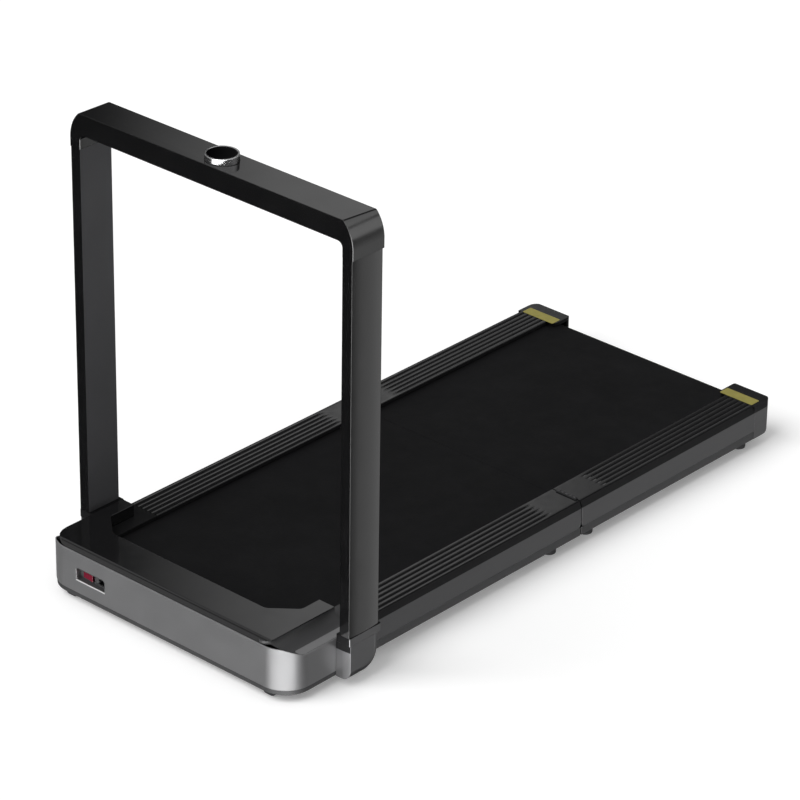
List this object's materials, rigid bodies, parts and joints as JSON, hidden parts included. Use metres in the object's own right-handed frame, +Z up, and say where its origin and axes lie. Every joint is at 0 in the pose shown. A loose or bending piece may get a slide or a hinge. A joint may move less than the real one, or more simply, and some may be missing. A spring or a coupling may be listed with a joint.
{
  "type": "folding treadmill",
  "caption": "Low folding treadmill: motor housing with glossy hood, running deck that folds in half, and a U-shaped handrail with a dial that folds down over the deck.",
  "frame": {"origin": "middle of the footprint, on the floor", "axes": "+Y from the motor housing (front) to the rear rollers, +X across the belt towards the motor's pulley, +Z up"},
  "size_m": [0.736, 1.492, 0.994],
  "materials": {
    "silver_paint": "metallic silver-grey paint, semi-gloss",
    "black_gloss": "glossy black",
    "black_satin": "satin black",
    "dark_plastic": "matt dark grey",
    "grey_metal": "dark grey anodised, satin",
    "cast_grey": "dark grey painted casting, satin",
    "post_black": "satin black powder coat",
    "belt": "matt black, finely textured",
    "rubber": "matt black",
    "steel": "bright turned steel",
    "black_steel": "matt black paint",
    "board": "laminated fibreboard",
    "dial_gloss": "glossy black, glass-like",
    "red": "glossy red",
    "circuit": "green circuit board with metal fins"
  },
  "bodies": {
    "base": {"bumper_band": "silver_paint", "front_pan": "dark_plastic", "hood": "black_gloss", "ledge_left": "black_satin", "ledge_right": "black_satin", "recess_bezel": "black_satin", "power_inlet": "black_satin", "chassis_front": "black_steel", "motor_body": "black_steel", "drive_belt": "rubber", "controller": "circuit", "front_axle": "steel", "walking_board_front": "board", "running_belt_front": "belt", "undertray_front": "dark_plastic", "rail_front_left": "black_satin", "rail_front_right": "black_satin", "side_band_front_left": "grey_metal", "side_band_front_right": "grey_metal", "hinge_front_left": "black_steel", "hinge_front_right": "black_steel", "foot_front_left": "rubber", "foot_front_right": "rubber", "pivot_pin_left": "steel", "pivot_pin_right": "steel"},
    "deck_rear": {"chassis_rear": "black_steel", "walking_board_rear": "board", "running_belt_rear": "belt", "undertray_rear": "dark_plastic", "rear_axle": "steel", "rail_rear_left": "black_satin", "rail_rear_right": "black_satin", "side_band_rear_left": "grey_metal", "side_band_rear_right": "grey_metal", "hinge_rear_left": "black_steel", "hinge_rear_right": "black_steel", "foot_fold_left": "rubber", "foot_fold_right": "rubber", "foot_rear_left": "rubber", "foot_rear_right": "rubber", "end_cap_left": "black_satin", "end_cap_right": "black_satin"},
    "handrail": {"crossbar": "black_gloss", "dial_base": "black_satin", "pod_left": "cast_grey", "pod_right": "cast_grey", "collar_left": "post_black", "collar_right": "post_black", "post_left": "post_black", "post_right": "post_black"},
    "dial_ring": {"dial_ring": "steel"},
    "dial_cap": {"dial_cap": "dial_gloss"},
    "switch_rocker": {"switch_rocker": "red"},
    "front_roller": {"front_roller": "steel"},
    "rear_roller": {"rear_roller": "steel"},
    "motor_rotor": {"motor_rotor": "steel"},
    "wheel_left": {"wheel_left": "rubber"},
    "wheel_right": {"wheel_right": "rubber"}
  },
  "joints": [
    {"name": "deck_fold", "type": "hinge", "parent": "base", "child": "deck_rear", "pos_m": [0, 0.119, 0.1015], "axis": [1, 0, 0], "range_deg": [0, 180]},
    {"name": "handrail_fold", "type": "hinge", "parent": "base", "child": "handrail", "pos_m": [0, -0.569, 0.06], "axis": [-1, 0, 0], "range_deg": [0, 84]},
    {"name": "dial_turn", "type": "hinge", "parent": "handrail", "child": "dial_ring", "pos_m": [0, -0.5716, 0.9765], "axis": [0, 0, 1], "continuous": true},
    {"name": "dial_press", "type": "slide", "parent": "handrail", "child": "dial_cap", "axis": [0, 0, -1], "range_m": [0, 0.001], "stiffness_N_per_m": 800, "springref_m": -0.002},
    {"name": "switch_rock", "type": "hinge", "parent": "base", "child": "switch_rocker", "pos_m": [-0.2135, -0.7345, 0.0708], "axis": [0, 0, 1], "range_deg": [0, 12]},
    {"name": "front_roller_spin", "type": "hinge", "parent": "base", "child": "front_roller", "pos_m": [0, -0.641, 0.0681], "axis": [1, 0, 0], "continuous": true},
    {"name": "rear_roller_spin", "type": "hinge", "parent": "deck_rear", "child": "rear_roller", "pos_m": [0, 0.7071, 0.0681], "axis": [1, 0, 0], "continuous": true},
    {"name": "motor_spin", "type": "hinge", "parent": "base", "child": "motor_rotor", "pos_m": [0, -0.699, 0.064], "axis": [1, 0, 0], "continuous": true},
    {"name": "wheel_left_spin", "type": "hinge", "parent": "base", "child": "wheel_left", "pos_m": [-0.27, -0.722, 0.015], "axis": [1, 0, 0], "continuous": true},
    {"name": "wheel_right_spin", "type": "hinge", "parent": "base", "child": "wheel_right", "pos_m": [0.27, -0.722, 0.015], "axis": [1, 0, 0], "continuous": true}
  ],
  "couplings": [
    {"joint": "rear_roller_spin", "follows": "front_roller_spin", "ratio": 1},
    {"joint": "motor_spin", "follows": "front_roller_spin", "ratio": 2.75}
  ]
}
